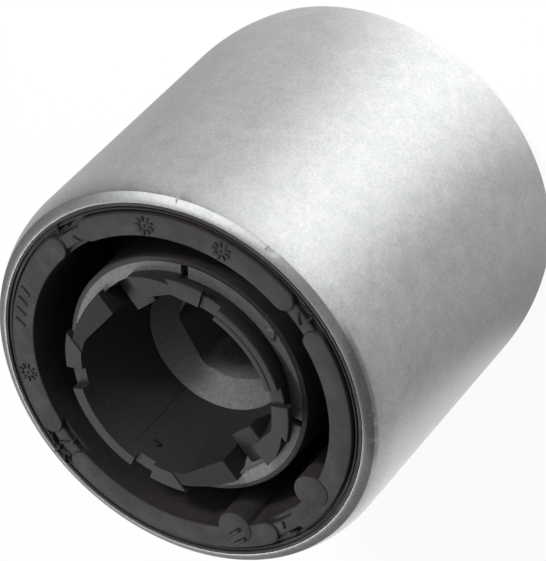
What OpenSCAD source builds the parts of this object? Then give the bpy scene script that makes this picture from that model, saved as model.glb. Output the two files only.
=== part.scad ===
// Rubber-metal bush: a rolled outer sleeve, a bonded rubber spring with open annular
// pockets, a cast inner core with a hexagonal seat, and a snap-in mouth insert.
// Lengths are in millimetres. The bush stands on its rear lip: z = 0 is the rear lip's
// plane, +Z runs up the bore axis and the mouth is on top.

/* [Outer sleeve] */
// Outside diameter, a press fit in the eye that holds the bush
sleeve_d = 66; // [64:0.5:72]
// Length from lip to lip
sleeve_l = 61.6; // [56:0.2:70]
// Wall of the sleeve
sleeve_wall = 2; // [1.6:0.1:2.4]
// Length over which the front end is rolled in
front_roll_l = 6; // [4:0.5:9]
// Length over which the rear end is rolled in
rear_roll_l = 9; // [6:0.5:12]
// How far the rolled end comes in at its edge
roll_in = 1.2; // [0.8:0.1:1.4]
// Radial width of the lead-in band between that edge and the lip
lead_w = 1.2; // [0.9:0.1:1.4]
// Height of the lead-in band
lead_h = 0.8; // [0.5:0.1:1.2]
// Width of the flat lip
lip_land = 0.7; // [0.5:0.1:0.9]

/* [Rubber spring] */
// Outside diameter of the open annular pockets
pocket_d = 50; // [48:0.5:52]
// Depth of the front pocket below the lip
front_pocket_depth = 24; // [16:0.5:26]
// Depth of the rear pocket above the rear lip
rear_pocket_depth = 20; // [14:0.5:24]
// Rubber skin round the core
core_skin = 0.8; // [0.6:0.1:1.2]
// How far the rubber's base ring lies below the front lip
base_drop = 0.6; // [0.3:0.1:1]
// How far the rubber's rear face lies above the rear lip
rear_recess = 1; // [0.6:0.1:2]
// Height of the front pads above the base ring
pad_h = 1.1; // [0.6:0.1:1.6]
// Radial width of the pads
pad_w = 3.8; // [3:0.1:4.2]
// Width of the notch between two pads
notch_w = 4.4; // [3:0.2:7]
// Radius of the half-round ribs on the pocket's outer wall
rib_r = 2.8; // [2:0.1:3.4]
// Angle of each rib from the bush's X axis
rib_angle = 20; // [14:1:40]

/* [Inner core] */
// Radial width of the core's front face round the insert
core_ring = 2.1; // [1.6:0.1:2.6]
// How far the core's front face lies below the front lip
core_drop = 2.2; // [1:0.1:4]
// How far the core's rear face lies above the rear lip
core_rear = 2; // [1:0.5:5]
// Width over the flats of the hexagonal seat
hex_flats = 15.8; // [14:0.2:18]
// Diameter to which the hexagon's corners are rounded
hex_round_d = 17.2; // [16:0.2:18]
// Turn of the hexagon from the bush's X axis
hex_turn = 50; // [0:1:60]
// Depth of the funnel that leads into the hexagon
funnel_h = 3.2; // [2:0.2:5]
// Width of the small key notches in the core's front face
key_w = 1.2; // [0.8:0.1:2]
// Depth of the key notches
key_depth = 1.6; // [0.8:0.1:2]
// Angle of each key notch from the bush's X axis
key_angle = 41; // [36:1:50]

/* [Mouth insert] */
// Wall of the insert's rim where it sits in the core
rim_wall = 0.8; // [0.6:0.1:1.2]
// Length of the straight rim below the core's front face
rim_seat = 1.4; // [0.8:0.1:2.5]
// Depth of the insert's end below the front lip
insert_depth = 11.9; // [10:0.1:14]
// Inside diameter at the mouth
mouth_d = 32.8; // [32:0.1:33.2]
// Inside diameter at the insert's inner end
throat_d = 24; // [22:0.2:25]
// Wall of the insert at its inner end
throat_wall = 1.7; // [1.2:0.1:2]
// Height of the two long flange arcs above the front lip
arc_top = 2.3; // [1.8:0.1:3]
// Thickness of the flange arcs
arc_t = 2.1; // [1.6:0.1:2.6]
// How far the flange arcs reach out past the rim
arc_reach = 1.2; // [0.8:0.1:1.5]
// Half of the angle that one flange arc covers
arc_half = 23.5; // [18:0.5:26]
// Angle from the Y axis at which the short flange pads begin
tab_start = 34; // [30:0.5:38]
// Height of the short flange pads above the front lip
tab_top = 1.5; // [1:0.1:2]
// How far the short flange pads reach out past the rim
tab_reach = 1.8; // [1.2:0.1:2]
// Height of the low bridges between arcs and pads above the front lip
bridge_top = 0.9; // [0.6:0.1:1.2]
// Distance from the X axis at which the cheeks begin to slope
cheek_y = 11.4; // [10:0.2:12]
// Height of a cheek's low end, from the front lip
cheek_low = -0.7; // [-1.4:0.1:0]
// Width of the window for the snap tongue
window_w = 6.8; // [6:0.2:8]
// Depth of the window below the front lip
window_depth = 9; // [7:0.2:9.6]
// Width of the snap tongue
tongue_w = 4.2; // [3:0.2:5]
// Depth of the tongue's top below the front lip
tongue_drop = 4.1; // [3:0.1:5]
// Distance between the noses of the two tongues
tongue_gap = 23.4; // [22.6:0.2:24.4]

/* [Clearances] */
// Nominal gap at the bonded faces between rubber and metal
bond_gap = 0.02; // [0.01:0.01:0.1]
// Gap between the insert and the core
insert_gap = 0.1; // [0.05:0.05:0.3]

/* [Hidden] */
$fn = 96;
// Small overlap for cuts and joins
eps = 0.01;

// Outer sleeve
sleeve_r = sleeve_d / 2;
sleeve_bore_r = sleeve_r - sleeve_wall;
edge_r = sleeve_r - roll_in;
lip_r = edge_r - lead_w;
lip_bore_r = lip_r - lip_land;
// Length of the straight land inside the lip
lip_depth = 1.2;
// Straight steps that draw one rolled end
roll_steps = 12;

// Rubber spring
pocket_r = pocket_d / 2;
mouth_r = mouth_d / 2;
rim_r = mouth_r + rim_wall;
core_r = rim_r + core_ring;
skin_r = core_r + core_skin;
pocket_w = pocket_r - skin_r;
// How far a rib's axis lies outside the pocket's wall
rib_shift = 0.2;
base_top = sleeve_l - base_drop;
// How far the pads run down into the ring below them
pad_root = 1;
// How far a pad's round ends stay inside its sides
pad_edge = 0.15;
// Turn from the notch's middle to the centre of a pad's round end
pad_end_turn = asin((notch_w + pad_w) / 2 / (pocket_r + pad_w / 2));

// Inner core
core_top = sleeve_l - core_drop;
skin_drop = 0.1;
seat_z = sleeve_l - insert_depth;
rim_z = core_top - rim_seat;
throat_r = throat_d / 2;
insert_end_r = throat_r + throat_wall;
core_edge = 0.3;
// The round pip left by the casting's ejector on the core's front face
pip_d = 1.6;
pip_h = 0.3;
pip_r = (rim_r + core_r) / 2 + 0.3;
pip_angle = 269;

// Mouth insert
// Small step that keeps neighbouring faces apart: cheeks under pads, bridges over arcs
small_step = 0.15;
arc_z = sleeve_l + arc_top;
arc_r = rim_r + arc_reach;
flange_z = arc_z - arc_t;
// How far the wall below stands up into the flange
flange_root = 0.3;
tab_z = sleeve_l + tab_top;
tab_r = rim_r + tab_reach;
bridge_z = sleeve_l + bridge_top;
// The bridges stay a little inside the arcs' outside
bridge_r = arc_r - small_step - 0.1;
cheek_z = sleeve_l + cheek_low;
cheek_high_z = tab_z - small_step;
// Places of a cheek's flat inner face at its low and high ends
cheek_low_x = mouth_r - 2.6;
cheek_high_x = mouth_r - 4.1;
// Outside of a cheek's foot, which rests on the core's ring face
foot_r = rim_r + 0.7;
// Angle from the X axis at which a short flange pad is cut from the ring, inside its cheek
tab_cut = 30;
// How far the arcs, pads, bridges and feet reach into the passage before it trims them
arc_in = 2.4;
tab_in = 2.8;
bridge_in = 3.2;
foot_in = 2;
// Turn by which a bridge enters its neighbours
bridge_overlap = 1;
tongue_z = sleeve_l - tongue_drop;
nose_x = tongue_gap / 2;
// Height of the tongue's upright nose and length of the slope below it
nose_h = 1.8;
nose_slope = 2.6;
// How far the tongue's slope runs out below the nose
nose_out = 0.8;
// Step between the inner lip of a flange arc and its outer band
step_h = 0.25;
step_r = mouth_r + 0.8;
flange_edge = 0.35;

// Outer corners of one rolled end in section, from the roll's start at y = 0 to the lip
function roll_points(roll_l) =
    let(side_l = roll_l - lead_h,
        bend_r = (side_l * side_l + roll_in * roll_in) / (2 * roll_in),
        bend_angle = asin(side_l / bend_r))
    concat(
        [for (i = [0:roll_steps])
            let(a = bend_angle * i / roll_steps)
            [sleeve_r - bend_r * (1 - cos(a)), bend_r * sin(a)]],
        [[lip_r, roll_l]]
    );

// Inside of the sleeve in section, drawn in by gap for what is bonded into it
module sleeve_inside(gap, low, high) {
    intersection() {
        polygon([
            [0, -1],
            [lip_bore_r - gap, -1],
            [lip_bore_r - gap, lip_depth],
            [sleeve_bore_r - gap, rear_roll_l],
            [sleeve_bore_r - gap, sleeve_l - front_roll_l],
            [lip_bore_r - gap, sleeve_l - lip_depth],
            [lip_bore_r - gap, sleeve_l + 1],
            [0, sleeve_l + 1]
        ]);
        translate([0, low]) square([sleeve_r, high - low]);
    }
}

module outer_sleeve() {
    front = [for (p = roll_points(front_roll_l)) [p[0], sleeve_l - front_roll_l + p[1]]];
    rear = [for (p = roll_points(rear_roll_l)) [p[0], rear_roll_l - p[1]]];
    last = len(rear) - 1;
    color("silver")
    rotate_extrude($fn = 180)
    polygon(concat(
        [for (i = [0:last]) rear[last - i]],
        front,
        [
            [lip_bore_r, sleeve_l],
            [lip_bore_r, sleeve_l - lip_depth],
            [sleeve_bore_r, sleeve_l - front_roll_l],
            [sleeve_bore_r, rear_roll_l],
            [lip_bore_r, lip_depth],
            [lip_bore_r, 0]
        ]
    ));
}

// Points of an arc round the origin
function arc_points(r, a1, a2, n) =
    [for (i = [0:n]) let(a = a1 + (a2 - a1) * i / n) r * [cos(a), sin(a)]];

// One open pocket in section: straight sides and a round floor at y = 0, open upwards
module pocket_section(depth) {
    polygon(concat(
        [for (p = arc_points(pocket_w / 2, 180, 360, 12)) p + [skin_r + pocket_w / 2, pocket_w / 2]],
        [[pocket_r, depth + 2], [skin_r, depth + 2]]
    ));
}

// A pad between two notches, with round ends; the pocket trims it inside
module pad() {
    linear_extrude(pad_root + pad_h) {
        intersection() {
            difference() {
                circle(r = pocket_r + pad_w, $fn = 180);
                circle(r = skin_r + pocket_w / 3, $fn = 180);
            }
            polygon([
                [0, 0],
                2 * sleeve_r * [cos(pad_end_turn), sin(pad_end_turn)],
                2 * sleeve_r * [1, 1],
                2 * sleeve_r * [sin(pad_end_turn), cos(pad_end_turn)]
            ]);
        }
        for (turn = [pad_end_turn, 90 - pad_end_turn])
            rotate([0, 0, turn]) translate([pocket_r + pad_w / 2, 0])
                circle(d = pad_w - 2 * pad_edge, $fn = 48);
    }
}

// The front pocket, with the half-round ribs left standing from its floor to the pads' faces
module front_pocket() {
    difference() {
        rotate_extrude($fn = 180)
            translate([0, sleeve_l - front_pocket_depth]) pocket_section(front_pocket_depth);
        for (turn = [180 - rib_angle, 180 + rib_angle])
            rotate([0, 0, turn])
            translate([pocket_r + rib_shift, 0, sleeve_l - front_pocket_depth - 1])
                cylinder(r = rib_r, h = front_pocket_depth + 4, $fn = 48);
    }
}

module rubber_body() {
    color("#2b2b2c")
    difference() {
        union() {
            rotate_extrude($fn = 180)
            difference() {
                sleeve_inside(bond_gap, rear_recess, base_top);
                translate([-1, -2]) square([core_r + bond_gap + 1, sleeve_l + 4]);
                translate([0, rear_pocket_depth]) mirror([0, 1]) pocket_section(rear_pocket_depth);
                translate([-1, core_top - skin_drop]) square([skin_r + 2, core_drop + 2]);
                translate([-1, -2]) square([skin_r + 2, core_rear + skin_drop + 2]);
            }
            for (turn = [0:90:270])
                translate([0, 0, base_top - pad_root]) rotate([0, 0, turn]) pad();
        }
        front_pocket();
    }
}

module inner_core() {
    color("#4a4a4b")
    difference() {
        union() {
            rotate_extrude($fn = 180)
            polygon([
                [0, core_rear],
                [core_r - core_edge, core_rear],
                [core_r, core_rear + core_edge],
                [core_r, core_top - core_edge],
                [core_r - core_edge, core_top],
                [0, core_top]
            ]);
            rotate([0, 0, pip_angle]) translate([pip_r, 0, core_top - eps])
                cylinder(d = pip_d, h = pip_h + eps, $fn = 32);
        }
        // tapered seat of the insert and the funnel below it
        rotate_extrude($fn = 180)
        polygon([
            [0, seat_z - insert_gap - funnel_h],
            [hex_round_d / 2, seat_z - insert_gap - funnel_h],
            [throat_r, seat_z - insert_gap],
            [insert_end_r + insert_gap, seat_z - insert_gap],
            [insert_end_r + insert_gap, seat_z],
            [rim_r + insert_gap, rim_z],
            [rim_r + insert_gap, core_top + 1],
            [0, core_top + 1]
        ]);
        // hexagonal seat with rounded corners, right through
        translate([0, 0, -1])
        intersection() {
            rotate([0, 0, hex_turn]) cylinder(d = hex_flats / cos(30), h = sleeve_l, $fn = 6);
            cylinder(d = hex_round_d, h = sleeve_l, $fn = 120);
        }
        // lead-in at the rear
        translate([0, 0, core_rear - eps])
            cylinder(d1 = hex_round_d + 2, d2 = hex_flats, h = (hex_round_d - hex_flats) / 2 + 1);
        // key notches in the front face, closed outside by the rubber skin
        for (turn = [key_angle, 180 - key_angle, 180 + key_angle, 360 - key_angle])
            rotate([0, 0, turn])
            translate([rim_r - 1, -key_w / 2, core_top - key_depth])
                cube([core_r - rim_r + 2, key_w, key_depth + 1]);
    }
}

// Outside of the insert as a solid: tapered body, straight rim, low wall beside the cheeks
module insert_outside() {
    difference() {
        rotate_extrude($fn = 180)
        polygon([
            [0, seat_z],
            [insert_end_r, seat_z],
            [rim_r, rim_z],
            [rim_r, tab_z],
            [0, tab_z]
        ]);
        for (side = [0, 180])
            rotate([0, 0, side])
            translate([-sleeve_r, cheek_y, flange_z + flange_root])
                cube([sleeve_d, sleeve_r, arc_t + 1]);
    }
}

// A piece of the flange that follows the rim from angle a1 to a2; the passage trims it inside
module flange_block(a1, a2, low, top, in_r, out_r) {
    rotate([0, 0, a1])
    rotate_extrude(angle = a2 - a1, $fn = 180)
    polygon([
        [in_r, low],
        [out_r, low],
        [out_r, top - flange_edge],
        [out_r - flange_edge, top],
        [in_r, top]
    ]);
}

// A long flange arc, with an inner lip that stands a little above its outer band
module flange_arc() {
    rotate([0, 0, -arc_half])
    rotate_extrude(angle = 2 * arc_half, $fn = 180)
    polygon([
        [mouth_r - arc_in, flange_z],
        [arc_r, flange_z],
        [arc_r, arc_z - step_h - flange_edge],
        [arc_r - flange_edge, arc_z - step_h],
        [step_r, arc_z - step_h],
        [step_r, arc_z],
        [mouth_r - arc_in, arc_z]
    ]);
}

// A short flange pad, cut off square where its cheek begins
module flange_tab() {
    difference() {
        flange_block(tab_cut, 90 - tab_start, flange_z, tab_z, mouth_r - tab_in, tab_r);
        translate([0, 0, flange_z - 1]) cube([sleeve_r, cheek_y, arc_t + 3]);
    }
}

// The ring from which the cheeks' feet are cut, over the core's ring face
module foot_ring() {
    rotate_extrude($fn = 180)
    polygon([
        [mouth_r - foot_in, core_top + insert_gap],
        [foot_r, core_top + insert_gap],
        [foot_r, cheek_high_z],
        [mouth_r - foot_in, cheek_high_z]
    ]);
}

// The four cheeks beside the windows: prisms with a flat inner face
module cheeks() {
    for (side = [1, -1], end = [1, -1])
        translate([0, 0, seat_z + 2])
        linear_extrude(insert_depth)
        polygon([
            [side * cheek_low_x, end * window_w / 2],
            [side * (rim_r + 2), end * window_w / 2],
            [side * (rim_r + 2), end * (cheek_y + 1)],
            [side * cheek_high_x, end * (cheek_y + 1)],
            [side * cheek_high_x, end * cheek_y]
        ]);
}

// The two snap tongues: an upright nose with a sloping underside, standing in a window
module tongues() {
    for (turn = [0, 180])
        rotate([0, 0, turn])
        translate([0, tongue_w / 2, 0])
        rotate([90, 0, 0])
        linear_extrude(tongue_w)
        polygon([
            [nose_x, tongue_z],
            [rim_r + 2, tongue_z],
            [rim_r + 2, seat_z + 1],
            [throat_r + nose_out, seat_z + 1],
            [nose_x + nose_out, tongue_z - nose_h - nose_slope],
            [nose_x, tongue_z - nose_h]
        ]);
}

module snap_insert() {
    color("#303031")
    difference() {
        union() {
            insert_outside();
            intersection() {
                foot_ring();
                translate([-sleeve_r, -cheek_y, core_top]) cube([sleeve_d, 2 * cheek_y, arc_t + sleeve_l]);
            }
            for (turn = [90, 270])
                rotate([0, 0, turn]) flange_arc();
            for (side = [0, 180])
                rotate([0, 0, side]) {
                    flange_tab();
                    mirror([1, 0, 0]) flange_tab();
                    for (turn = [90 - tab_start - bridge_overlap, 90 + arc_half - bridge_overlap])
                        flange_block(turn, turn + tab_start - arc_half + 2 * bridge_overlap,
                            flange_z + small_step, bridge_z, mouth_r - bridge_in, bridge_r);
                }
        }
        // tapered passage, which leaves the cheeks and the tongues standing
        difference() {
            translate([0, 0, seat_z - eps])
                cylinder(r1 = throat_r, r2 = mouth_r + (mouth_r - throat_r) / (arc_z - seat_z),
                    h = arc_z - seat_z + 1, $fn = 180);
            cheeks();
            tongues();
        }
        // windows round the tongues
        difference() {
            translate([-sleeve_r, -window_w / 2, sleeve_l - window_depth])
                cube([sleeve_d, window_w, window_depth + arc_top + 1]);
            tongues();
        }
        // tops of the cheeks, sloping down to the windows
        translate([-sleeve_r, 0, 0])
        rotate([90, 0, 90])
        linear_extrude(sleeve_d)
        polygon([
            [-cheek_y, cheek_high_z],
            [-window_w / 2, cheek_z],
            [window_w / 2, cheek_z],
            [cheek_y, cheek_high_z],
            [cheek_y, arc_z + 2],
            [-cheek_y, arc_z + 2]
        ]);
    }
}

outer_sleeve();
rubber_body();
inner_core();
snap_insert();
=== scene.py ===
import math

import bmesh
import bpy
from mathutils import Matrix, Vector


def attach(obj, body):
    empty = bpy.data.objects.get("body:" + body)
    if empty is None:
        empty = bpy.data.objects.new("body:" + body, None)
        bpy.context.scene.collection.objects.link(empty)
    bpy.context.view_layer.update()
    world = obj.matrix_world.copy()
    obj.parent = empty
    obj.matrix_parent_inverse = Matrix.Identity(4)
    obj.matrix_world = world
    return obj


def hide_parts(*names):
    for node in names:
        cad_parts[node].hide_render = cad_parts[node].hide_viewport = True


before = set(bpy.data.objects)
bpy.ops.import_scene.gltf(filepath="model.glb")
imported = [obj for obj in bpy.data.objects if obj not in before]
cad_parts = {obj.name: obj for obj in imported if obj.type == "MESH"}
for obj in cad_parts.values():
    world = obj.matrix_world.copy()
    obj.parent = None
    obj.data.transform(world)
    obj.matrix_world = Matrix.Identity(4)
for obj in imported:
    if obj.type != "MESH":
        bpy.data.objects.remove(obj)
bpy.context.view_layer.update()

# Outer sleeve. A drawn aluminium tube, ground to its press-fit size, with both ends rolled in
# so that it enters the eye; a sharp edge line parts the satin side from the brighter lead-in
# band. The straight lip inside the roll keeps the rubber moulding in place.
MM = 0.001
DOUBLES = 0.001 * MM
SLIVERS = 0.002 * MM
ROUND_STEPS = 256
CORNER_STEPS = 3
CORNER_SHARE = 0.4
NEARLY_STRAIGHT = 160.0
SLEEVE_R = 33.0
SLEEVE_L = 61.6
SLEEVE_BORE_R = 31.0
LIP_BORE_R = 29.9
LIP_DEPTH = 1.2
LIP_SOFT = 0.12
EDGE_R = 31.8
LEAD_H = 0.8
LEAD_IN = [(0.45, 0.31), (0.9, 0.55), (1.3, 0.72), (1.65, 0.8)]
FRONT_ROLL = 6.0
REAR_ROLL = 9.0
ROLL_STEPS = 14


def pick(piece):
    """Leaves only this piece selected and active."""
    bpy.ops.object.select_all(action="DESELECT")
    piece.select_set(True)
    bpy.context.view_layer.objects.active = piece


def drawn_line(name, corners, closed=True):
    """Starts a piece as a line of edges through the corners, in edit mode: a small plane is
    merged to one point, which is moved and extruded from corner to corner."""
    bpy.ops.object.select_all(action="DESELECT")
    bpy.ops.mesh.primitive_plane_add(size=MM, location=(0, 0, 0))
    piece = bpy.context.object
    piece.name = piece.data.name = name
    bpy.ops.object.mode_set(mode="EDIT")
    bpy.ops.mesh.select_mode(type="VERT")
    bpy.ops.mesh.select_all(action="SELECT")
    bpy.ops.mesh.merge(type="CENTER")
    last = Vector(corners[0])
    bpy.ops.transform.translate(value=last * MM)
    for corner in list(corners[1:]) + ([corners[0]] if closed else []):
        step = (Vector(corner) - last) * MM
        bpy.ops.mesh.extrude_region_move(TRANSFORM_OT_translate={"value": step})
        last = Vector(corner)
    bpy.ops.mesh.select_all(action="SELECT")
    bpy.ops.mesh.remove_doubles(threshold=DOUBLES)
    return piece


def closed_up(piece):
    """Merges doubles, turns the faces outwards and leaves edit mode."""
    bpy.ops.mesh.select_all(action="SELECT")
    bpy.ops.mesh.remove_doubles(threshold=DOUBLES)
    bpy.ops.mesh.normals_make_consistent(inside=False)
    bpy.ops.object.mode_set(mode="OBJECT")
    return piece


def turned(name, section, steps=ROUND_STEPS, start=0.0, sweep=360.0):
    """A turned piece: its section of (radius, height) is spun about the bush's axis. A sweep
    under 360 degrees gets closed ends, and a section that starts on the axis stays open
    there. A positive spin goes clockwise, so it is negated."""
    across = Vector((math.cos(math.radians(start)), math.sin(math.radians(start)), 0))
    corners = [across * r + Vector((0, 0, z)) for r, z in section]
    piece = drawn_line(name, corners, closed=section[0][0] > 0)
    if sweep < 360.0:
        bpy.ops.mesh.edge_face_add()
    bpy.ops.mesh.spin(steps=steps, angle=-math.radians(sweep), center=(0, 0, 0), axis=(0, 0, 1))
    return closed_up(piece)


def rounded(section, radius):
    """The section with each sharp corner off the axis drawn as a small curve."""
    out = []
    for i, corner in enumerate(section):
        here = Vector(corner)
        back = Vector(section[i - 1]) - here
        ahead = Vector(section[(i + 1) % len(section)]) - here
        if here.x < 1e-6 or math.degrees(back.angle(ahead)) > NEARLY_STRAIGHT:
            out.append(tuple(here))
            continue
        start = here + back.normalized() * min(radius, CORNER_SHARE * back.length)
        end = here + ahead.normalized() * min(radius, CORNER_SHARE * ahead.length)
        for k in range(CORNER_STEPS + 1):
            t = k / CORNER_STEPS
            out.append(tuple(start * (1 - t) ** 2 + here * 2 * t * (1 - t) + end * t * t))
    return out


def rolled_end(length):
    """Outer corners of one rolled end, from the plain side at height 0 to the lip."""
    side = length - LEAD_H
    come_in = SLEEVE_R - EDGE_R
    bend = (side ** 2 + come_in ** 2) / (2 * come_in)
    angle = math.asin(side / bend)
    points = []
    for k in range(ROLL_STEPS + 1):
        a = angle * k / ROLL_STEPS
        points.append((SLEEVE_R - bend * (1 - math.cos(a)), bend * math.sin(a)))
    return points + [(EDGE_R - across, length - LEAD_H + rise) for across, rise in LEAD_IN]


front_roll = [(r, SLEEVE_L - FRONT_ROLL + z) for r, z in rolled_end(FRONT_ROLL)]
rear_roll = [(r, REAR_ROLL - z) for r, z in rolled_end(REAR_ROLL)]
sleeve_section = rounded(
    rear_roll[::-1] + front_roll + [
        (LIP_BORE_R, SLEEVE_L),
        (LIP_BORE_R, SLEEVE_L - LIP_DEPTH),
        (SLEEVE_BORE_R, SLEEVE_L - FRONT_ROLL),
        (SLEEVE_BORE_R, REAR_ROLL),
        (LIP_BORE_R, LIP_DEPTH),
        (LIP_BORE_R, 0.0),
    ],
    LIP_SOFT,
)
sleeve = turned("sleeve_tube", sleeve_section)


def round_place(r, angle, z):
    """The point at this radius, angle in degrees and height."""
    return Vector((r * math.cos(math.radians(angle)), r * math.sin(math.radians(angle)), z))


def slab(name, outline, along):
    """A prism: a flat outline of 3-D corners, filled and extruded along a vector."""
    piece = drawn_line(name, outline)
    bpy.ops.mesh.edge_face_add()
    bpy.ops.mesh.extrude_region_move(TRANSFORM_OT_translate={"value": Vector(along) * MM})
    return closed_up(piece)


def combine(piece, others, operation):
    """Joins or carves the piece with the others by boolean and drops them."""
    for other in others:
        pick(piece)
        modifier = piece.modifiers.new("combine", "BOOLEAN")
        modifier.operation = operation
        modifier.solver = "EXACT"
        modifier.object = other
        bpy.ops.object.modifier_apply(modifier=modifier.name)
        bpy.data.objects.remove(other)


def dented(piece, spot, reach, push):
    """Pushes the vertices within reach of a spot, fading out to its rim."""
    pick(piece)
    bpy.ops.object.mode_set(mode="EDIT")
    bpy.ops.mesh.select_mode(type="VERT")
    bpy.ops.mesh.select_all(action="DESELECT")
    mesh = bmesh.from_edit_mesh(piece.data)
    nearest = min(mesh.verts, key=lambda vert: (vert.co - Vector(spot) * MM).length)
    nearest.select_set(True)
    bmesh.update_edit_mesh(piece.data)
    bpy.ops.transform.translate(
        value=Vector(push) * MM, use_proportional_edit=True,
        proportional_edit_falloff="SMOOTH", proportional_size=reach * MM,
    )
    bpy.ops.object.mode_set(mode="OBJECT")


def cleared(piece, sharp):
    """Clears the slivers that carving leaves, draws the faces as triangles without flat
    doubled ones, and shades all but the sharp edges smooth."""
    pick(piece)
    bpy.ops.object.mode_set(mode="EDIT")
    bpy.ops.mesh.select_mode(type="VERT")
    bpy.ops.mesh.select_all(action="SELECT")
    bpy.ops.mesh.remove_doubles(threshold=SLIVERS)
    bpy.ops.mesh.select_all(action="SELECT")
    bpy.ops.mesh.dissolve_degenerate(threshold=SLIVERS)
    mesh = bmesh.from_edit_mesh(piece.data)
    bmesh.ops.triangulate(mesh, faces=mesh.faces)
    mesh.verts.index_update()
    same = {}
    for face in mesh.faces:
        same.setdefault(frozenset(vert.index for vert in face.verts), []).append(face)
    doubled = [face for faces in same.values() if len(faces) > 1 for face in faces]
    bmesh.ops.delete(mesh, geom=doubled, context="FACES")
    bmesh.update_edit_mesh(piece.data)
    bpy.ops.object.mode_set(mode="OBJECT")
    bpy.ops.object.shade_smooth_by_angle(angle=math.radians(sharp))


# handling marks on the front edge line: knocks by their angle and depth, with a small burr
# thrown up beside each; the burr's profile is given against the edge line
EDGE_Z = SLEEVE_L - LEAD_H
KNOCKS = [(290.1, 0.10), (317.8, 0.06)]
KNOCK_REACH = 0.9
KNOCK_DROP = 0.6
BURR_PROFILE = [(0.1, -1.3), (0.24, 0.16), (-0.6, 0.52), (-0.9, -0.4)]
BURR_BESIDE = 1.2
BURR_THICK = 0.16
BURR_ALONG = 92
for angle, depth in KNOCKS:
    push = round_place(depth, angle + 180, -depth * KNOCK_DROP)
    dented(sleeve, round_place(EDGE_R, angle, EDGE_Z), KNOCK_REACH, push)
    burr_outline = [
        round_place(EDGE_R + out, angle + BURR_BESIDE, EDGE_Z + rise)
        for out, rise in BURR_PROFILE
    ]
    burr = slab("burr", burr_outline, round_place(BURR_THICK, angle + BURR_ALONG, 0))
    combine(sleeve, [burr], "UNION")
cleared(sleeve, 20)


def linear(code):
    """An sRGB hex colour as linear RGBA."""
    parts = [int(code[i:i + 2], 16) / 255 for i in (1, 3, 5)]
    return [c / 12.92 if c <= 0.04045 else ((c + 0.055) / 1.055) ** 2.4 for c in parts] + [1.0]


def new_material(name):
    """A node material and its Principled shader."""
    material = bpy.data.materials.new(name)
    material.use_nodes = True
    return material, material.node_tree.nodes["Principled BSDF"]


def add(owner, kind, settings=None, links=None, **choices):
    """Adds one shader node with its choices, its input values and its links."""
    made = owner.node_tree.nodes.new("ShaderNode" + kind)
    for key, value in choices.items():
        setattr(made, key, value)
    for key, value in (settings or {}).items():
        made.inputs[key].default_value = value
    for key, socket in (links or {}).items():
        owner.node_tree.links.new(socket, made.inputs[key])
    return made


def dress(piece, material, shader, sources, node):
    """Feeds the shader's sockets, puts the material on the piece and lets the piece stand
    for its CAD node."""
    for socket, source in sources.items():
        material.node_tree.links.new(source, shader.inputs[socket])
    piece.data.materials.clear()
    piece.data.materials.append(material)
    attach(piece, "root")
    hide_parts(node)


# Drawn and washed aluminium. The eye sees a satin side with a dense grain, soft clouds a few
# millimetres wide and faint streaks along the drawing, a smoother turned lead-in, and a darker
# patch on one stretch of it. The grain is drawn coarser than the real one, so that it shows.
PER_MM = (1000.0, 1000.0, 1000.0)
DRAWN_PER_MM = (1000.0, 1000.0, 50.0)
MIX_SHARE, MIX_COLOUR_A, MIX_COLOUR_B, MIXED_COLOUR = 0, 6, 7, 2
MIX_NUMBER_A, MIX_NUMBER_B, MIXED_NUMBER = 2, 3, 0
DARK_PATCH_AT = 241.0
DARK_PATCH_Z = SLEEVE_L - 1.7
satin, satin_shader = new_material("drawn_satin_aluminium")
satin_at = add(satin, "TexCoord").outputs["Object"]
satin_mm = add(satin, "Mapping", {"Scale": PER_MM}, {"Vector": satin_at}).outputs[0]
drawn_mm = add(satin, "Mapping", {"Scale": DRAWN_PER_MM}, {"Vector": satin_at}).outputs[0]
clouds = add(
    satin, "TexNoise", {"Scale": 0.3, "Detail": 5.0, "Roughness": 0.72}, {"Vector": satin_mm},
).outputs["Fac"]
grain = add(
    satin, "TexNoise", {"Scale": 2.2, "Detail": 3.0, "Roughness": 0.75}, {"Vector": satin_mm},
).outputs["Fac"]
streaks = add(
    satin, "TexNoise", {"Scale": 1.4, "Detail": 3.0, "Roughness": 0.65}, {"Vector": drawn_mm},
).outputs["Fac"]
cloudy = add(satin, "MapRange", {"From Min": 0.34, "From Max": 0.66}, {"Value": clouds})
tone = add(
    satin, "Mix", {MIX_COLOUR_A: linear("#c9cbcc"), MIX_COLOUR_B: linear("#d9dadb")},
    {MIX_SHARE: cloudy.outputs[0]}, data_type="RGBA",
)
specks = add(
    satin, "MapRange", {"From Min": 0.3, "From Max": 0.7, "To Min": 0.86, "To Max": 1.1},
    {"Value": grain},
)

# the darker patch: toward its bearing, near the lip, and broken up by the clouds
height = add(satin, "SeparateXYZ", None, {"Vector": satin_mm}).outputs["Z"]
dark_patch_way = round_place(1.0, DARK_PATCH_AT, 0.0)
dark_patch_near = add(satin, "VectorMath", {1: dark_patch_way}, {0: satin_mm}, operation="DOT_PRODUCT")
dark_patch_round = add(
    satin, "MapRange", {"From Min": 29.4, "From Max": 30.6},
    {"Value": dark_patch_near.outputs["Value"]},
)
dark_patch_high = add(
    satin, "MapRange", {"From Min": DARK_PATCH_Z, "From Max": DARK_PATCH_Z + 0.4}, {"Value": height},
)
dark_patch_here = add(
    satin, "Math", None, {0: dark_patch_round.outputs[0], 1: dark_patch_high.outputs[0]},
    operation="MULTIPLY",
)
dark_patch_clouds = add(
    satin, "MapRange", {"From Min": 0.36, "From Max": 0.44, "To Max": 0.5}, {"Value": clouds},
)
dark_patch = add(
    satin, "Math", None, {0: dark_patch_here.outputs[0], 1: dark_patch_clouds.outputs[0]},
    operation="MULTIPLY",
)
# inside the patch the colour is darkened toward a warm grey
darkened = add(
    satin, "Mix", {MIX_COLOUR_B: linear("#6f6c68")},
    {MIX_SHARE: dark_patch.outputs[0], MIX_COLOUR_A: tone.outputs[MIXED_COLOUR]}, data_type="RGBA",
)
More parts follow.
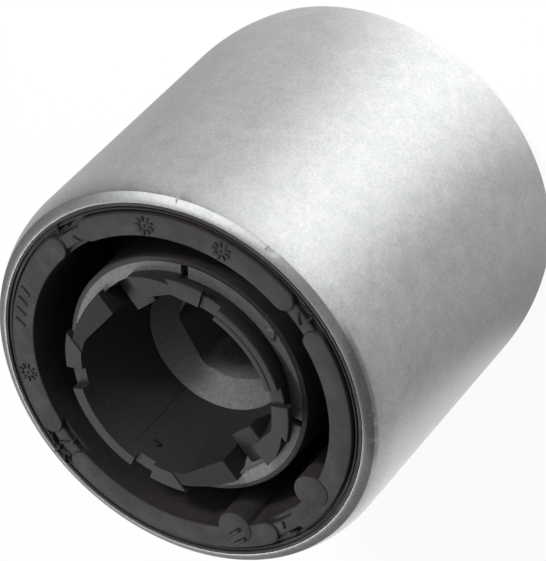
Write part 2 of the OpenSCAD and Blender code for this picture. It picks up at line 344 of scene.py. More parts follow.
satin_colour = add(
    satin, "VectorMath", None, {0: darkened.outputs[MIXED_COLOUR], 1: specks.outputs[0]},
    operation="MULTIPLY",
)
lead_in = add(
    satin, "MapRange", {"From Min": EDGE_Z - 0.05, "From Max": EDGE_Z + 0.05},
    {"Value": height}, interpolation_type="SMOOTHSTEP",
)
side_rough = add(
    satin, "MapRange", {"From Min": 0.35, "From Max": 0.65, "To Min": 0.34, "To Max": 0.43},
    {"Value": clouds},
)
satin_rough = add(
    satin, "Mix", {MIX_NUMBER_B: 0.36},
    {MIX_SHARE: lead_in.outputs[0], MIX_NUMBER_A: side_rough.outputs[0]}, data_type="FLOAT",
)
satin_relief = add(satin, "Math", {1: 0.35}, {0: grain, 2: streaks}, operation="MULTIPLY_ADD")
satin_bump = add(
    satin, "Bump", {"Strength": 0.25, "Distance": 0.02 * MM}, {"Height": satin_relief.outputs[0]},
)
satin_shader.inputs["Metallic"].default_value = 1.0
satin_sources = {
    "Base Color": satin_colour.outputs[0],
    "Roughness": satin_rough.outputs[MIXED_NUMBER],
    "Normal": satin_bump.outputs["Normal"],
}
dress(sleeve, satin, satin_shader, satin_sources, "outer_sleeve")

# Rubber spring. One natural-rubber moulding bonded into the sleeve and on to the core. Its
# front has four raised pads, a lower base ring with the mould's flash line, a deep ring
# pocket with two half-round ribs, and the thin skin that covers the core's edge.
BASE_TOP = 61.0
PAD_TOP = 62.1
PAD_ROOT = 60.3
PAD_OUT_R = 28.8
PAD_FROM = 4.3
PAD_SOFT = 0.22
POCKET_R = 25.0
SKIN_R = 20.1
FRONT_FLOOR = 37.6
REAR_FLOOR = 20.0
FLOOR_STEPS = 16
RUBBER_REAR = 1.0
CORE_R = 19.3
CORE_TOP = 59.4
CORE_REAR = 2.0
BOND = 0.02
RIB_R = 2.8
RIB_PROUD = 0.14
RIB_STEPS = 48
RIB_SOFT = 0.14
RIB_SPOTS = (160.0, 200.0)
FLASH_R = 29.3
FILM_R = 30.25
NOTCH_SPOTS = (0.0, 90.0, 180.0, 270.0)


def soften(piece, test, width, segments):
    """Bevels the edges that the test picks out by their place and their faces."""
    pick(piece)
    bpy.ops.object.mode_set(mode="EDIT")
    bpy.ops.mesh.select_mode(type="EDGE")
    bpy.ops.mesh.select_all(action="DESELECT")
    mesh = bmesh.from_edit_mesh(piece.data)
    for edge in mesh.edges:
        if len(edge.link_faces) == 2 and test(edge):
            edge.select_set(True)
    bmesh.update_edit_mesh(piece.data)
    bpy.ops.mesh.bevel(offset=width * MM, segments=segments, affect="EDGES", clamp_overlap=True)
    bpy.ops.object.mode_set(mode="OBJECT")


def top_rim(edge):
    """True for an edge between a face that looks up and one that looks sideways."""
    up = sorted(face.normal.z for face in edge.link_faces)
    return up[1] > 0.98 and up[0] < 0.5


def copied(piece, turn, place=(0.0, 0.0, 0.0)):
    """A copy with its own mesh, turned about the bush's axis and then moved."""
    other = piece.copy()
    other.data = piece.data.copy()
    bpy.context.collection.objects.link(other)
    move = Matrix.Translation(Vector(place) * MM)
    other.data.transform(move @ Matrix.Rotation(math.radians(turn), 4, "Z"))
    return other


def pocket_floor(z_floor, z_open):
    """Half-round floor of a ring pocket, from its inner wall to its outer one; z_open says
    which way the pocket opens."""
    mid = (POCKET_R + SKIN_R) / 2
    half = (POCKET_R - SKIN_R) / 2
    way = 1 if z_open > z_floor else -1
    curve = []
    for k in range(FLOOR_STEPS + 1):
        a = math.pi + math.pi * k / FLOOR_STEPS
        curve.append((mid + half * math.cos(a), z_floor + way * (half + half * math.sin(a))))
    return curve


# the moulding's section: the skin round the core, front pocket, base ring with its flash
# line, the film over the sleeve's lip, the bonded outside, rear face and rear pocket
rubber_in_r = CORE_R + BOND
rubber_out_r = LIP_BORE_R - BOND
rubber_section = (
    [(rubber_in_r, CORE_REAR - 0.1), (rubber_in_r, CORE_TOP - 0.1)]
    + [(SKIN_R - 0.35, CORE_TOP - 0.1), (SKIN_R - 0.1, CORE_TOP - 0.2)]
    + [(SKIN_R, CORE_TOP - 0.45)]
    + pocket_floor(FRONT_FLOOR, CORE_TOP)
    + [(POCKET_R, BASE_TOP - 0.3), (POCKET_R + 0.1, BASE_TOP - 0.08)]
    + [(POCKET_R + 0.35, BASE_TOP), (FLASH_R - 0.25, BASE_TOP)]
    + [(FLASH_R - 0.12, BASE_TOP + 0.55), (FLASH_R + 0.06, BASE_TOP + 0.58)]
    + [(FLASH_R + 0.16, BASE_TOP + 0.3), (LIP_BORE_R - 0.25, BASE_TOP + 0.32)]
    + [(LIP_BORE_R - 0.1, SLEEVE_L + 0.08), (FILM_R - 0.08, SLEEVE_L + 0.1)]
    + [(FILM_R, SLEEVE_L + 0.04), (FILM_R - 0.04, SLEEVE_L + 0.015)]
    + [(rubber_out_r, SLEEVE_L + 0.01), (rubber_out_r, SLEEVE_L - LIP_DEPTH)]
    + [(SLEEVE_BORE_R - BOND, SLEEVE_L - FRONT_ROLL), (SLEEVE_BORE_R - BOND, REAR_ROLL)]
    + [(rubber_out_r, LIP_DEPTH), (rubber_out_r, RUBBER_REAR)]
    + [(POCKET_R + 0.3, RUBBER_REAR), (POCKET_R, RUBBER_REAR + 0.3)]
    + pocket_floor(REAR_FLOOR, RUBBER_REAR)[::-1]
    + [(SKIN_R, CORE_REAR + 0.2), (SKIN_R - 0.3, CORE_REAR - 0.1)]
)
rubber = turned("rubber_moulding", rubber_section)

LOBE_STEPS = 64
TIP_STEPS = 15


def lobe(r_in, r_out, start, end, z):
    """A curved bar's outline at a height: two arcs with a half-round at each end."""
    mid, half = (r_in + r_out) / 2, (r_out - r_in) / 2
    inset = math.degrees(math.asin(half / mid))
    first, last = start + inset, end - inset
    arc = [first + (last - first) * k / LOBE_STEPS for k in range(LOBE_STEPS + 1)]
    ends = []
    for spot, way in ((last, last), (first, first + 180)):
        turns = [way + 180 / TIP_STEPS * k for k in range(1, TIP_STEPS)]
        ends.append([round_place(mid, spot, z) + round_place(half, turn, 0) for turn in turns])
    outside = [round_place(r_out, a, z) for a in arc]
    inside = [round_place(r_in, a, z) for a in arc[::-1]]
    return outside + ends[0] + inside + ends[1]


# pads: one is extruded and rounded, three are copies
pad_outline = lobe(POCKET_R + 0.03, PAD_OUT_R, PAD_FROM, 90 - PAD_FROM, PAD_ROOT)
pad = slab("pad", pad_outline, (0, 0, PAD_TOP - PAD_ROOT))
soften(pad, top_rim, PAD_SOFT, 3)
combine(rubber, [pad] + [copied(pad, turn) for turn in NOTCH_SPOTS[1:]], "UNION")

# half-round ribs that run down the pocket's outer wall to its floor
for spot in RIB_SPOTS:
    bpy.ops.object.select_all(action="DESELECT")
    bpy.ops.mesh.primitive_circle_add(
        vertices=RIB_STEPS, radius=RIB_R * MM, fill_type="NGON", location=(0, 0, 0),
    )
    rib = bpy.context.object
    bpy.ops.object.mode_set(mode="EDIT")
    rib_foot = Vector((POCKET_R + 0.2, 0.0, FRONT_FLOOR - 1.0))
    bpy.ops.transform.translate(value=rib_foot * MM)
    rib_up = (PAD_TOP + RIB_PROUD - rib_foot.z) * MM
    bpy.ops.mesh.extrude_region_move(TRANSFORM_OT_translate={"value": (0, 0, rib_up)})
    closed_up(rib)
    soften(rib, top_rim, RIB_SOFT, 2)
    rib.data.transform(Matrix.Rotation(math.radians(spot), 4, "Z"))
    combine(rubber, [rib], "UNION")


BAR_SOFT, BAR_SOFT_SHARE = 0.12, 0.3


def bar(name, start, end, width, low, high):
    """A short straight bar between two points, with soft upper edges."""
    a, b = Vector((start[0], start[1], low)), Vector((end[0], end[1], low))
    side = Vector((0, 0, 1)).cross(b - a).normalized() * width / 2
    piece = slab(name, [a - side, b - side, b + side, a + side], (0, 0, high - low))
    soften(piece, top_rim, min(BAR_SOFT, BAR_SOFT_SHARE * width), 2)
    return piece


# two raised slanted bars on one rib's face; each raised mark starts a root's depth inside
ROOT = 0.3
RIB_FACE = PAD_TOP + RIB_PROUD
RIB_BAR_W = 0.62
RIB_BARS = [((-24.3, 10.2), (-24.2, 7.9), 0.45), ((-25.9, 10.4), (-25.9, 8.1), 0.4)]
rib_bars = [
    bar("rib_bar", start, end, RIB_BAR_W, RIB_FACE - ROOT, RIB_FACE + proud)
    for start, end, proud in RIB_BARS
]
combine(rubber, rib_bars, "UNION")

# mould-date dials: nine raised petals round a dot; one is modelled and copied to its places
PETALS = 9
PETAL_FROM, PETAL_TO, PETAL_W, PETAL_H = 0.74, 1.55, 0.36, 0.24
DOT_HALF, DOT_H = 0.2, 0.2
DIAL_SPOTS = [(26.9, 329.6, 15.0), (27.0, 302.4, 0.0), (27.2, 62.8, 30.0)]
dial_low = PAD_TOP - ROOT
petals = [
    bar("dial_petal", (PETAL_FROM, 0.0), (PETAL_TO, 0.0), PETAL_W, dial_low, PAD_TOP + PETAL_H),
]
for k in range(1, PETALS):
    petals.append(copied(petals[0], 360 / PETALS * k))
dot = bar(
    "dial_dot", (-DOT_HALF, 0.0), (DOT_HALF, 0.0), 2 * DOT_HALF, dial_low, PAD_TOP + DOT_H,
)
pick(petals[0])
for piece in petals + [dot]:
    piece.select_set(True)
bpy.ops.object.join()
dial = bpy.context.object
dials = [copied(dial, turn, round_place(r, angle, 0)) for r, angle, turn in DIAL_SPOTS]
bpy.data.objects.remove(dial)
combine(rubber, dials, "UNION")

# a row of plain raised bars on the pad beside the third dial
TICK_SPOTS = (31.0, 35.2, 39.4, 43.6)
TICK_IN_R, TICK_OUT_R = 26.5, 28.2
TICK_LEAN = 1
TICK_W, TICK_H = 0.42, 0.22
ticks = []
for spot in TICK_SPOTS:
    inner = round_place(TICK_IN_R, spot + TICK_LEAN, 0)
    outer = round_place(TICK_OUT_R, spot - TICK_LEAN, 0)
    ticks.append(bar("tick", inner, outer, TICK_W, PAD_TOP - ROOT, PAD_TOP + TICK_H))
combine(rubber, ticks, "UNION")

# rubber left in the notches: a low saddle in each, and torn shreds of flash beside it, given
# as radius, degrees from the notch, length and lean
SADDLE_IN_R, SADDLE_OUT_R, SADDLE_TOP = 25.7, 28.0, 61.78
SADDLE_HALF = 6.0
SADDLE_SOFT = 0.3
SHREDS = [
    (90.0, [
        (28.9, -2.6, 1.7, 70), (29.3, 0.6, 1.4, 20), (28.3, 2.9, 1.6, 120),
        (27.2, -0.4, 1.9, 160), (29.5, 4.6, 1.2, 60), (25.9, 1.4, 1.0, 30),
    ]),
    (0.0, [(28.6, 0.2, 1.9, 95), (26.4, -1.6, 1.5, 35), (29.0, 2.4, 1.2, 150)]),
    (270.0, [(27.0, 0.5, 2.0, 60), (28.6, -1.0, 1.3, 10), (29.2, 1.8, 1.2, 100)]),
    (180.0, [(28.4, 1.0, 1.4, 80), (26.6, -0.8, 1.2, 150)]),
]
SHRED_W, SHRED_LOW, SHRED_TOP, SHRED_TEAR = 0.34, 60.7, 62.0, 0.13
saddle_section = [
    (SADDLE_IN_R, PAD_ROOT), (SADDLE_OUT_R, PAD_ROOT),
    (SADDLE_OUT_R, SADDLE_TOP), (SADDLE_IN_R, SADDLE_TOP),
]
saddle = turned(
    "saddle", rounded(saddle_section, SADDLE_SOFT),
    steps=14, start=-SADDLE_HALF, sweep=2 * SADDLE_HALF,
)
combine(rubber, [copied(saddle, spot) for spot in NOTCH_SPOTS], "UNION")
bpy.data.objects.remove(saddle)
for number, (spot, places) in enumerate(SHREDS):
    for r, turn, long, lean in places:
        middle = round_place(r, spot + turn, 0)
        reach = round_place(long / 2, spot + lean, 0)
        shred = bar("shred", middle - reach, middle + reach, SHRED_W, SHRED_LOW, SHRED_TOP)
        pick(shred)
        bpy.ops.object.mode_set(mode="EDIT")
        bpy.ops.mesh.select_all(action="SELECT")
        torn = 7 * number + int(10 * long)
        bpy.ops.transform.vertex_random(offset=SHRED_TEAR * MM, seed=torn)
        bpy.ops.object.mode_set(mode="OBJECT")
        combine(rubber, [shred], "UNION")
cleared(rubber, 35)

# Moulded carbon-filled natural rubber. The eye sees a matt, deep grey-black with a faint warm
# bloom in patches about 3 mm wide, over the half-millimetre grain of an eroded mould
black_rubber, rubber_shader = new_material("moulded_natural_rubber")
rubber_at = add(black_rubber, "TexCoord").outputs["Object"]
rubber_mm = add(black_rubber, "Mapping", {"Scale": PER_MM}, {"Vector": rubber_at}).outputs[0]
bloom = add(
    black_rubber, "TexNoise", {"Scale": 0.35, "Detail": 5.0, "Roughness": 0.6},
    {"Vector": rubber_mm},
).outputs["Fac"]
pores = add(
    black_rubber, "TexNoise", {"Scale": 2.4, "Detail": 3.0, "Roughness": 0.7},
    {"Vector": rubber_mm},
).outputs["Fac"]
rubber_colour = add(
    black_rubber, "Mix", {MIX_COLOUR_A: linear("#181615"), MIX_COLOUR_B: linear("#272423")},
    {MIX_SHARE: bloom}, data_type="RGBA",
)
rubber_rough = add(
    black_rubber, "MapRange",
    {"From Min": 0.3, "From Max": 0.7, "To Min": 0.5, "To Max": 0.68}, {"Value": bloom},
)
rubber_relief = add(
    black_rubber, "Math", {1: 0.8}, {0: pores, 2: bloom}, operation="MULTIPLY_ADD",
)
rubber_bump = add(
    black_rubber, "Bump", {"Strength": 0.7, "Distance": 0.15 * MM},
    {"Height": rubber_relief.outputs[0]},
)
rubber_shader.inputs["IOR"].default_value = 1.52
rubber_sources = {
    "Base Color": rubber_colour.outputs[MIXED_COLOUR],
    "Roughness": rubber_rough.outputs[0],
    "Normal": rubber_bump.outputs["Normal"],
}
dress(rubber, black_rubber, rubber_shader, rubber_sources, "rubber_body")

# Inner core. A casting with a matt black coat: a ring face with four small key notches and an
# ejector pip, a tapered seat for the insert, a funnel, and a rounded hexagon right through.
SEAT_Z = 49.7
RIM_R = 17.2
RIM_Z = 58.0
THROAT_R = 12.0
END_R = 13.7
GAP = 0.1
CORE_SOFT = 0.07
FUNNEL_H = 3.2
HEX_FLATS = 15.8
HEX_ROUND_R = 8.6
HEX_TURN = 50.0
HEX_SOFT = 1.4
CORE_BORE_R = HEX_FLATS / 2 - 0.9
KEY_SPOTS = (41.0, 139.0, 221.0, 319.0)
KEY_HALF, KEY_LOW, KEY_HIGH, KEY_LONG = 0.6, 57.8, 61.0, 4.0
PIP_R = 18.55
PIP_SPOT = 269.0
PIP_WIDE, PIP_HIGH, PIP_SOFT = 0.8, 0.3, 0.12
core_section = [
    (CORE_BORE_R, CORE_REAR),
    (CORE_R, CORE_REAR),
    (CORE_R, CORE_TOP),
    (RIM_R + GAP, CORE_TOP),
    (RIM_R + GAP, RIM_Z),
    (END_R + GAP, SEAT_Z),
    (END_R + GAP, SEAT_Z - GAP),
    (THROAT_R, SEAT_Z - GAP),
    (HEX_ROUND_R, SEAT_Z - GAP - FUNNEL_H),
    (CORE_BORE_R, SEAT_Z - GAP - FUNNEL_H),
]
core = turned("core_casting", rounded(core_section, CORE_SOFT))


def upright(edge):
    """True for a sharp edge that runs up and down."""
    a, b = edge.verts
    level = abs(a.co.x - b.co.x) + abs(a.co.y - b.co.y)
    return level < 1e-7 and edge.calc_face_angle(0.0) > 0.6


hex_corner_r = HEX_FLATS / 2 / math.cos(math.radians(30))
hex_corners = [round_place(hex_corner_r, HEX_TURN + 60 * k, 0.0) for k in range(6)]
hexagon = slab("hexagon", hex_corners, (0.0, 0.0, SLEEVE_L))
soften(hexagon, upright, HEX_SOFT, 6)
combine(core, [hexagon], "DIFFERENCE")

# the chamfer at the hexagon's rear end, and the pip and the key notches of the front face
rear_cone_section = [
    (0, CORE_REAR - 1), (HEX_FLATS / 2 + 2.7, CORE_REAR - 1),
    (HEX_FLATS / 2 - 0.3, CORE_REAR + 2), (0, CORE_REAR + 2),
]
combine(core, [turned("lead_in_cone", rear_cone_section, steps=96)], "DIFFERENCE")
pip_section = [
    (0, CORE_TOP - PIP_HIGH), (PIP_WIDE, CORE_TOP - PIP_HIGH),
    (PIP_WIDE, CORE_TOP + PIP_HIGH), (0, CORE_TOP + PIP_HIGH),
]
pip = turned("ejector_pip", rounded(pip_section, PIP_SOFT), steps=32)
pip.data.transform(Matrix.Translation(round_place(PIP_R, PIP_SPOT, 0) * MM))
combine(core, [pip], "UNION")
key_outline = [
    (RIM_R - 1, y, z)
    for y, z in (
        (-KEY_HALF, KEY_LOW), (KEY_HALF, KEY_LOW), (KEY_HALF, KEY_HIGH), (-KEY_HALF, KEY_HIGH),
    )
]
for spot in KEY_SPOTS:
    key = slab("key", key_outline, (KEY_LONG, 0, 0))
    key.data.transform(Matrix.Rotation(math.radians(spot), 4, "Z"))
    combine(core, [key], "DIFFERENCE")
cleared(core, 30)

# Casting with a thin black dip coat. The eye sees a dull black-grey with half-millimetre
# specks where the metal's grain lifts the coat, and a soft sheen where light grazes it
cast_coat, cast_shader = new_material("coated_casting")
cast_at = add(cast_coat, "TexCoord").outputs["Object"]
cast_mm = add(cast_coat, "Mapping", {"Scale": PER_MM}, {"Vector": cast_at}).outputs[0]
cast_specks = add(
    cast_coat, "TexNoise", {"Scale": 2.0, "Detail": 4.0, "Roughness": 0.75},
    {"Vector": cast_mm},
).outputs["Fac"]
cast_colour = add(
    cast_coat, "Mix", {MIX_COLOUR_A: linear("#252526"), MIX_COLOUR_B: linear("#707173")},
    {MIX_SHARE: cast_specks}, data_type="RGBA",
)
cast_bump = add(
    cast_coat, "Bump", {"Strength": 0.5, "Distance": 0.08 * MM}, {"Height": cast_specks},
)
cast_shader.inputs["Metallic"].default_value = 0.2
cast_shader.inputs["Roughness"].default_value = 0.45
cast_sources = {
    "Base Color": cast_colour.outputs[MIXED_COLOUR],
    "Normal": cast_bump.outputs["Normal"],
}
dress(core, cast_coat, cast_shader, cast_sources, "inner_core")

# Mouth insert. A glass-filled nylon moulding that snaps into the core: a tapered thin wall
# with a flange in pieces at three heights, cheeks that slope down to two windows, and a snap
# tongue with an upright nose and a sloping underside in each window.
MOUTH_R = 16.4
FLANGE_Z = 61.8
ARC_TOP = 63.9
ARC_IN_R, ARC_R = 14, 18.4
ARC_STEP_R, ARC_STEP_H = 17.2, 0.16
ARC_HALF = 23.5
TAB_TOP = 63.1
TAB_IN_R, TAB_R = 13.6, 19.0
TAB_FROM = 34.0
TAB_END = 28.0
TAB_SOFT = 0.4
BRIDGE_IN_R, BRIDGE_R = 13.2, 18.15
BRIDGE_LOW, BRIDGE_TOP, BRIDGE_SOFT = FLANGE_Z + 0.15, 62.5, 0.15
FOOT_IN_R, FOOT_R = 14.4, 17.9
FLANGE_SOFT = 0.3
CHEEK_Y = 11.4
CHEEK_TOP = TAB_TOP - 0.15
CHEEK_LOW = 60.9
CHEEK_IN, CHEEK_CORNER, CHEEK_END, CHEEK_H = 13.8, 12.3, 12.4, 11.9
WINDOW_HALF = 3.4
WINDOW_LOW = 52.6
TONGUE_HALF = 2.1
TONGUE_TOP = 57.5
TONGUE_FOOT = 12.8
TONGUE_SOFT = 0.18
NOSE_X = 11.7
NOSE_H = 1.8
NOSE_SLOPE = 2.6
WALL_OUT = 19.2
CUT_R = 36.0
CUT_LOW, CUT_HIGH = 50.0, 70.0


def box(name, low, high):
    """A block between two corners."""
    (x, y, z), (far_x, far_y, top) = low, high
    outline = [(x, y, z), (far_x, y, z), (far_x, far_y, z), (x, far_y, z)]
    return slab(name, outline, (0, 0, top - z))


insert = turned(
    "insert_moulding",
    [(0, SEAT_Z), (END_R, SEAT_Z), (RIM_R, RIM_Z), (RIM_R, TAB_TOP), (0, TAB_TOP)],
)
sides = [box("side", (-CUT_R, CHEEK_Y, FLANGE_Z + 0.3), (CUT_R, CUT_R, CUT_HIGH))]
sides.append(copied(sides[0], 180.0))
combine(insert, sides, "DIFFERENCE")

# one half of the flange: a long stepped arc, a short pad and a low bridge on each side of it,
# and the foot that carries two cheeks; the other half is its copy
arc_section = [
    (ARC_IN_R, FLANGE_Z), (ARC_R, FLANGE_Z), (ARC_R, ARC_TOP - ARC_STEP_H),
    (ARC_STEP_R, ARC_TOP - ARC_STEP_H), (ARC_STEP_R, ARC_TOP), (ARC_IN_R, ARC_TOP),
]
arc = turned(
    "flange_arc", rounded(arc_section, FLANGE_SOFT),
    steps=48, start=90 - ARC_HALF, sweep=2 * ARC_HALF,
)
tab_section = [
    (TAB_IN_R, FLANGE_Z), (TAB_R, FLANGE_Z), (TAB_R, TAB_TOP), (TAB_IN_R, TAB_TOP),
]
tabs = []
for start, low_x, high_x in ((TAB_END, 0, CUT_R), (90 + TAB_FROM, -CUT_R, 0)):
    tab = turned(
        "flange_pad", rounded(tab_section, FLANGE_SOFT),
        steps=32, start=start, sweep=90 - TAB_FROM - TAB_END,
    )
    below_cheek = box("side", (low_x, -CUT_R, CUT_LOW), (high_x, CHEEK_Y, CUT_HIGH))
    combine(tab, [below_cheek], "DIFFERENCE")
    soften(tab, upright, TAB_SOFT, 4)
    tabs.append(tab)
bridge_section = [
    (BRIDGE_IN_R, BRIDGE_LOW), (BRIDGE_R, BRIDGE_LOW),
    (BRIDGE_R, BRIDGE_TOP), (BRIDGE_IN_R, BRIDGE_TOP),
]
bridges = [
    turned(
        "bridge", rounded(bridge_section, BRIDGE_SOFT),
        steps=16, start=start, sweep=TAB_FROM - ARC_HALF + 2,
    )
    for start in (90 - TAB_FROM - 1, 90 + ARC_HALF - 1)
]
foot_section = [
    (FOOT_IN_R, CORE_TOP + GAP), (FOOT_R, CORE_TOP + GAP),
    (FOOT_R, CHEEK_TOP), (FOOT_IN_R, CHEEK_TOP),
]
foot = turned("cheek_foot", foot_section, steps=60, start=-45.0, sweep=90.0)
foot_ends = [
    box("side", (0, CHEEK_Y, CUT_LOW), (CUT_R, CUT_R, CUT_HIGH)),
    box("side", (0, -CUT_R, CUT_LOW), (CUT_R, -CHEEK_Y, CUT_HIGH)),
]
combine(foot, foot_ends, "DIFFERENCE")
half_flange = [foot, arc] + tabs + bridges
other_half = [copied(piece, 180.0) for piece in half_flange]
combine(insert, half_flange + other_half, "UNION")


def cheek(side, end):
    """The prism of one cheek, with a flat inner face."""
    outline = [
        (CHEEK_IN, WINDOW_HALF), (WALL_OUT, WINDOW_HALF), (WALL_OUT, CHEEK_END),
        (CHEEK_CORNER, CHEEK_END), (CHEEK_CORNER, CHEEK_Y),
    ]
    corners = [(side * x, end * y, SEAT_Z + 2) for x, y in outline]
    return slab("cheek", corners, (0, 0, CHEEK_H))


def tongue(side):
    """The prism of one snap tongue."""
    outline = [
        (NOSE_X, TONGUE_TOP), (WALL_OUT, TONGUE_TOP),
        (WALL_OUT, SEAT_Z + 1), (TONGUE_FOOT, SEAT_Z + 1),
        (NOSE_X + 0.8, TONGUE_TOP - NOSE_H - NOSE_SLOPE), (NOSE_X, TONGUE_TOP - NOSE_H),
    ]
    corners = [(side * x, -TONGUE_HALF, z) for x, z in outline]
    piece = slab("tongue", corners, (0, 2 * TONGUE_HALF, 0))
    soften(piece, lambda edge: edge.calc_face_angle(0.0) > 0.3, TONGUE_SOFT, 2)
    return piece


# the tapered passage with its two windows, less the cheeks and tongues, is cut from the solid;
# the sloping tops of the cheeks meet the pads a little past the cheeks' ends
slope = (MOUTH_R - THROAT_R) / (ARC_TOP - SEAT_Z)
passage_section = [
    (0, SEAT_Z - 0.5), (THROAT_R - 0.5 * slope, SEAT_Z - 0.5),
    (MOUTH_R + slope, ARC_TOP + 1), (0, ARC_TOP + 1),
]
passage = turned("passage", passage_section)
cheeks = [cheek(side, end) for side in (1, -1) for end in (1, -1)]
combine(passage, cheeks, "DIFFERENCE")
window = box("window", (-CUT_R, -WINDOW_HALF, WINDOW_LOW), (CUT_R, WINDOW_HALF, CUT_HIGH))
cheek_end = CHEEK_Y + 0.04
slope_outline = [
    (-cheek_end, CHEEK_TOP), (-WINDOW_HALF, CHEEK_LOW), (WINDOW_HALF, CHEEK_LOW),
    (cheek_end, CHEEK_TOP), (cheek_end, CUT_HIGH), (-cheek_end, CUT_HIGH),
]
cheek_tops = slab("cheek_tops", [(-CUT_R, y, z) for y, z in slope_outline], (2 * CUT_R, 0, 0))
combine(passage, [window, cheek_tops], "UNION")
combine(passage, [tongue(1), tongue(-1)], "DIFFERENCE")
combine(insert, [passage], "DIFFERENCE")


def wall_r(z):
    """The passage's radius at a height."""
    return THROAT_R + slope * (z - SEAT_Z)


# a fine parting line and the gate's round mark on the passage's wall
LINE_SPOT, LINE_LOW, LINE_HIGH = 107.8, 50.2, 61.5
LINE_PROUD, LINE_ROOT, LINE_W = 0.1, 0.3, 0.13
GATE_SPOT, GATE_Z = 118.0, 59.6
GATE_R, GATE_ROOT, GATE_PROUD, GATE_SOFT = 0.85, 0.3, 0.1, 0.08
line_outline = [
    round_place(wall_r(z) + out, LINE_SPOT, z)
    for z, out in (
        (LINE_LOW, -LINE_PROUD), (LINE_HIGH, -LINE_PROUD),
        (LINE_HIGH, LINE_ROOT), (LINE_LOW, LINE_ROOT),
    )
]
line = slab("parting_line", line_outline, round_place(LINE_W, LINE_SPOT + 90, 0))
combine(insert, [line], "UNION")
gate_section = [(0, -GATE_ROOT), (GATE_R, -GATE_ROOT), (GATE_R, GATE_PROUD), (0, GATE_PROUD)]
gate = turned("gate_mark", rounded(gate_section, GATE_SOFT), steps=24)
gate.data.transform(
    Matrix.Translation(round_place(wall_r(GATE_Z), GATE_SPOT, GATE_Z) * MM)
    @ Matrix.Rotation(math.radians(GATE_SPOT), 4, "Z")
    @ Matrix.Rotation(-math.pi / 2 - math.atan(slope), 4, "Y")
)
combine(insert, [gate], "UNION")
cleared(insert, 30)

# Moulded glass-filled nylon. The eye sees a matt black that is a shade warmer and flatter
# than the coat round it, with faint lumps about a millimetre wide where the fibres lie
nylon, nylon_shader = new_material("glass_filled_nylon")
nylon_at = add(nylon, "TexCoord").outputs["Object"]
nylon_mm = add(nylon, "Mapping", {"Scale": PER_MM}, {"Vector": nylon_at}).outputs[0]
fibres = add(
    nylon, "TexNoise", {"Scale": 1.2, "Detail": 4.0, "Roughness": 0.6}, {"Vector": nylon_mm},
).outputs["Fac"]
nylon_colour = add(
    nylon, "Mix", {MIX_COLOUR_A: linear("#161413"), MIX_COLOUR_B: linear("#211f1e")},
    {MIX_SHARE: fibres}, data_type="RGBA",
)
nylon_bump = add(nylon, "Bump", {"Strength": 0.6, "Distance": 0.1 * MM}, {"Height": fibres})
nylon_shader.inputs["Roughness"].default_value = 0.58
nylon_sources = {
    "Base Color": nylon_colour.outputs[MIXED_COLOUR],
    "Normal": nylon_bump.outputs["Normal"],
}
dress(insert, nylon, nylon_shader, nylon_sources, "snap_insert")

# Floor. A pale matt sweep that shows white and keeps a faint shadow of the bush. Shiny metal
# sees painted light on it: an emitted glow painted as a strip-lit table, bright in front and
# behind and falling off to the sides.
FLOOR_SIZE = 6.0
BRIGHTEST = 1.62
FAR_GLOW = 0.2
MATT_SHARE = 0.06
# the painted glow round the bush: bearing in degrees and share of the brightest
PAINTED_GLOW = [
    (-180, 0.55), (-158, 0.22), (-115, 0.32), (-69, 1.0), (-20, 0.44), (20, 0.32), (65, 0.42),
    (103, 0.72), (145, 0.90), (180, 0.55),
]
bpy.ops.object.select_all(action="DESELECT")
bpy.ops.mesh.primitive_plane_add(size=FLOOR_SIZE, location=(0, 0, 0))
floor = bpy.context.object
floor.name = "floor"
table = bpy.data.materials.new("pale_table")
table.use_nodes = True
table.node_tree.nodes.remove(table.node_tree.nodes["Principled BSDF"])
seen = add(table, "LightPath").outputs
table_at = add(table, "TexCoord").outputs["Object"]
table_xyz = add(table, "SeparateXYZ", None, {"Vector": table_at}).outputs
bearing = add(table, "Math", None, {0: table_xyz["Y"], 1: table_xyz["X"]}, operation="ARCTAN2")
share = add(
    table, "MapRange", {"From Min": -math.pi, "From Max": math.pi}, {"Value": bearing.outputs[0]},
)
glow = add(table, "ValToRGB", None, {"Fac": share.outputs[0]})
glow.color_ramp.interpolation = "EASE"
for degrees, _ in PAINTED_GLOW[1:-1]:
    glow.color_ramp.elements.new((degrees + 180) / 360)
for stop, (_, lit) in zip(glow.color_ramp.elements, PAINTED_GLOW):
    stop.color = (lit, lit, lit, 1)
painted_strip_light = add(
    table, "MapRange", {"To Min": 0.0, "To Max": BRIGHTEST}, {"Value": glow.outputs["Color"]},
)
# far from the bush and behind it, the painted glow fades to a dim level
away = add(table, "VectorMath", None, {0: table_at}, operation="LENGTH")
far_off = add(
    table, "MapRange", {"From Min": 0.11, "From Max": 0.26}, {"Value": away.outputs["Value"]},
)
behind = add(table, "MapRange", {"From Min": -0.05, "From Max": 0.05}, {"Value": table_xyz["Y"]})
dimmed = add(
    table, "Math", None, {0: far_off.outputs[0], 1: behind.outputs[0]}, operation="MULTIPLY",
)
fading = add(
    table, "Mix", {MIX_NUMBER_B: FAR_GLOW},
    {MIX_SHARE: dimmed.outputs[0], MIX_NUMBER_A: painted_strip_light.outputs[0]}, data_type="FLOAT",
)
level = add(
    table, "Mix", {MIX_NUMBER_B: 1.0},
    {MIX_SHARE: seen["Is Camera Ray"], MIX_NUMBER_A: fading.outputs[MIXED_NUMBER]},
    data_type="FLOAT",
)
white = add(
    table, "Emission", {"Color": (1, 1, 1, 1)}, {"Strength": level.outputs[MIXED_NUMBER]},
)
matt = add(table, "BsdfDiffuse", {"Color": (0.85, 0.85, 0.85, 1)})
shown = add(table, "MixShader", {0: MATT_SHARE}, {1: white.outputs[0], 2: matt.outputs[0]})
direct = add(
    table, "Math", None, {0: seen["Is Camera Ray"], 1: seen["Is Glossy Ray"]},
    operation="MAXIMUM",
)
direct_or_through = add(
    table, "Math", None, {0: direct.outputs[0], 1: seen["Is Transmission Ray"]},
    operation="MAXIMUM",
)
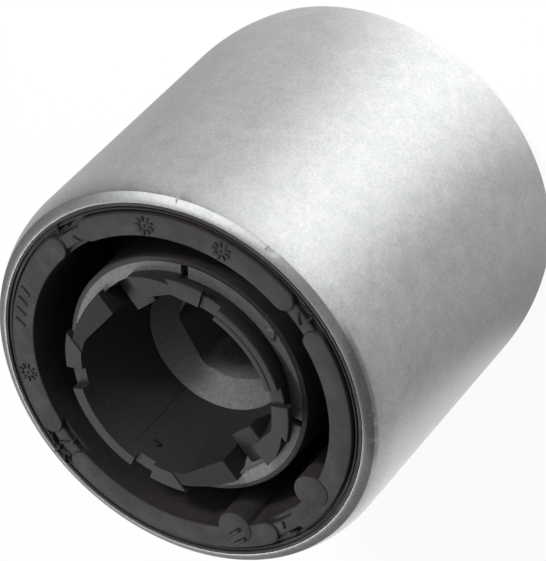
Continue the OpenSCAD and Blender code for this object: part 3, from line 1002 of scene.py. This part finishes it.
surface = add(
    table, "MixShader", None,
    {0: direct_or_through.outputs[0], 1: matt.outputs[0], 2: shown.outputs[0]},
)
table_output = table.node_tree.nodes["Material Output"]
table.node_tree.links.new(surface.outputs[0], table_output.inputs["Surface"])
floor.data.materials.append(table)

# Light. A dim grey room that glows softly in front of the bush and is white to the camera
# past the floor. One broad softbox lights the bush, a small fill lights the mouth's near
# side, and a softbox behind is only mirrored in the metal.
ROOM_GREY, ROOM_GLOW = 0.16, 1.2
ROOM_FRONT = 291.0
LAMPS_AIM = (0, 0, 0.045)
room = bpy.data.worlds.new("room")
bpy.context.scene.world = room
room.use_nodes = True
room_light = room.node_tree.nodes["Background"]
room_at = add(room, "TexCoord").outputs["Generated"]
front_way = round_place(1.0, ROOM_FRONT, 0.15)
toward_front = add(room, "VectorMath", {1: front_way}, {0: room_at}, operation="DOT_PRODUCT")
front_glow = add(
    room, "MapRange",
    {"From Min": 0.72, "From Max": 0.98, "To Min": ROOM_GREY, "To Max": ROOM_GLOW},
    {"Value": toward_front.outputs["Value"]}, interpolation_type="SMOOTHSTEP",
)
past_floor = add(room, "LightPath").outputs["Is Camera Ray"]
room_shown = add(
    room, "Mix", {MIX_COLOUR_B: (1, 1, 1, 1)},
    {MIX_SHARE: past_floor, MIX_COLOUR_A: front_glow.outputs[0]}, data_type="RGBA",
)
room.node_tree.links.new(room_shown.outputs[MIXED_COLOUR], room_light.inputs["Color"])


def softbox(name, place, size, power, mirrored=True, lights=True):
    """A square area lamp that looks at the bush's mouth; it may be mirrored in shiny faces,
    light matt ones, or both."""
    lamp = bpy.data.lights.new(name, "AREA")
    lamp.size = size
    lamp.energy = power
    holder = bpy.data.objects.new(name, lamp)
    bpy.context.scene.collection.objects.link(holder)
    holder.location = place
    holder.visible_glossy = mirrored
    holder.visible_diffuse = lights
    aim = Vector(LAMPS_AIM) - holder.location
    holder.rotation_euler = aim.to_track_quat("-Z", "Y").to_euler()


softbox("softbox_left", (0.55, -0.10, 0.75), 0.8, 3.0)
softbox("fill_left", (0.59, -0.15, 0.455), 0.1, 6.5, mirrored=False)
softbox("softbox_back", (-0.15, 0.62, 0.62), 0.5, 3.2, lights=False)

# Camera. It looks down into the mouth from where the photograph was taken, and is rolled as
# the photograph is; the long lens gives the photograph's slight perspective.
CAMERA_AT = (94.66, -398.1, 465.1)
CAMERA_RIGHT = (-0.58602, -0.65594, -0.47573)
CAMERA_UP = (0.79474, -0.35081, -0.49529)
camera_data = bpy.data.cameras.new("camera")
camera_data.lens = 249.5
camera_data.sensor_width = 36.0
camera_data.clip_end = 10.0
camera = bpy.data.objects.new("camera", camera_data)
bpy.context.scene.collection.objects.link(camera)
right = Vector(CAMERA_RIGHT).normalized()
backwards = right.cross(Vector(CAMERA_UP).normalized())
turn = Matrix((right, backwards.cross(right), backwards)).transposed().to_4x4()
camera.matrix_world = Matrix.Translation(Vector(CAMERA_AT) * MM) @ turn
bpy.context.scene.camera = camera
bpy.context.scene.view_settings.view_transform = "Standard"
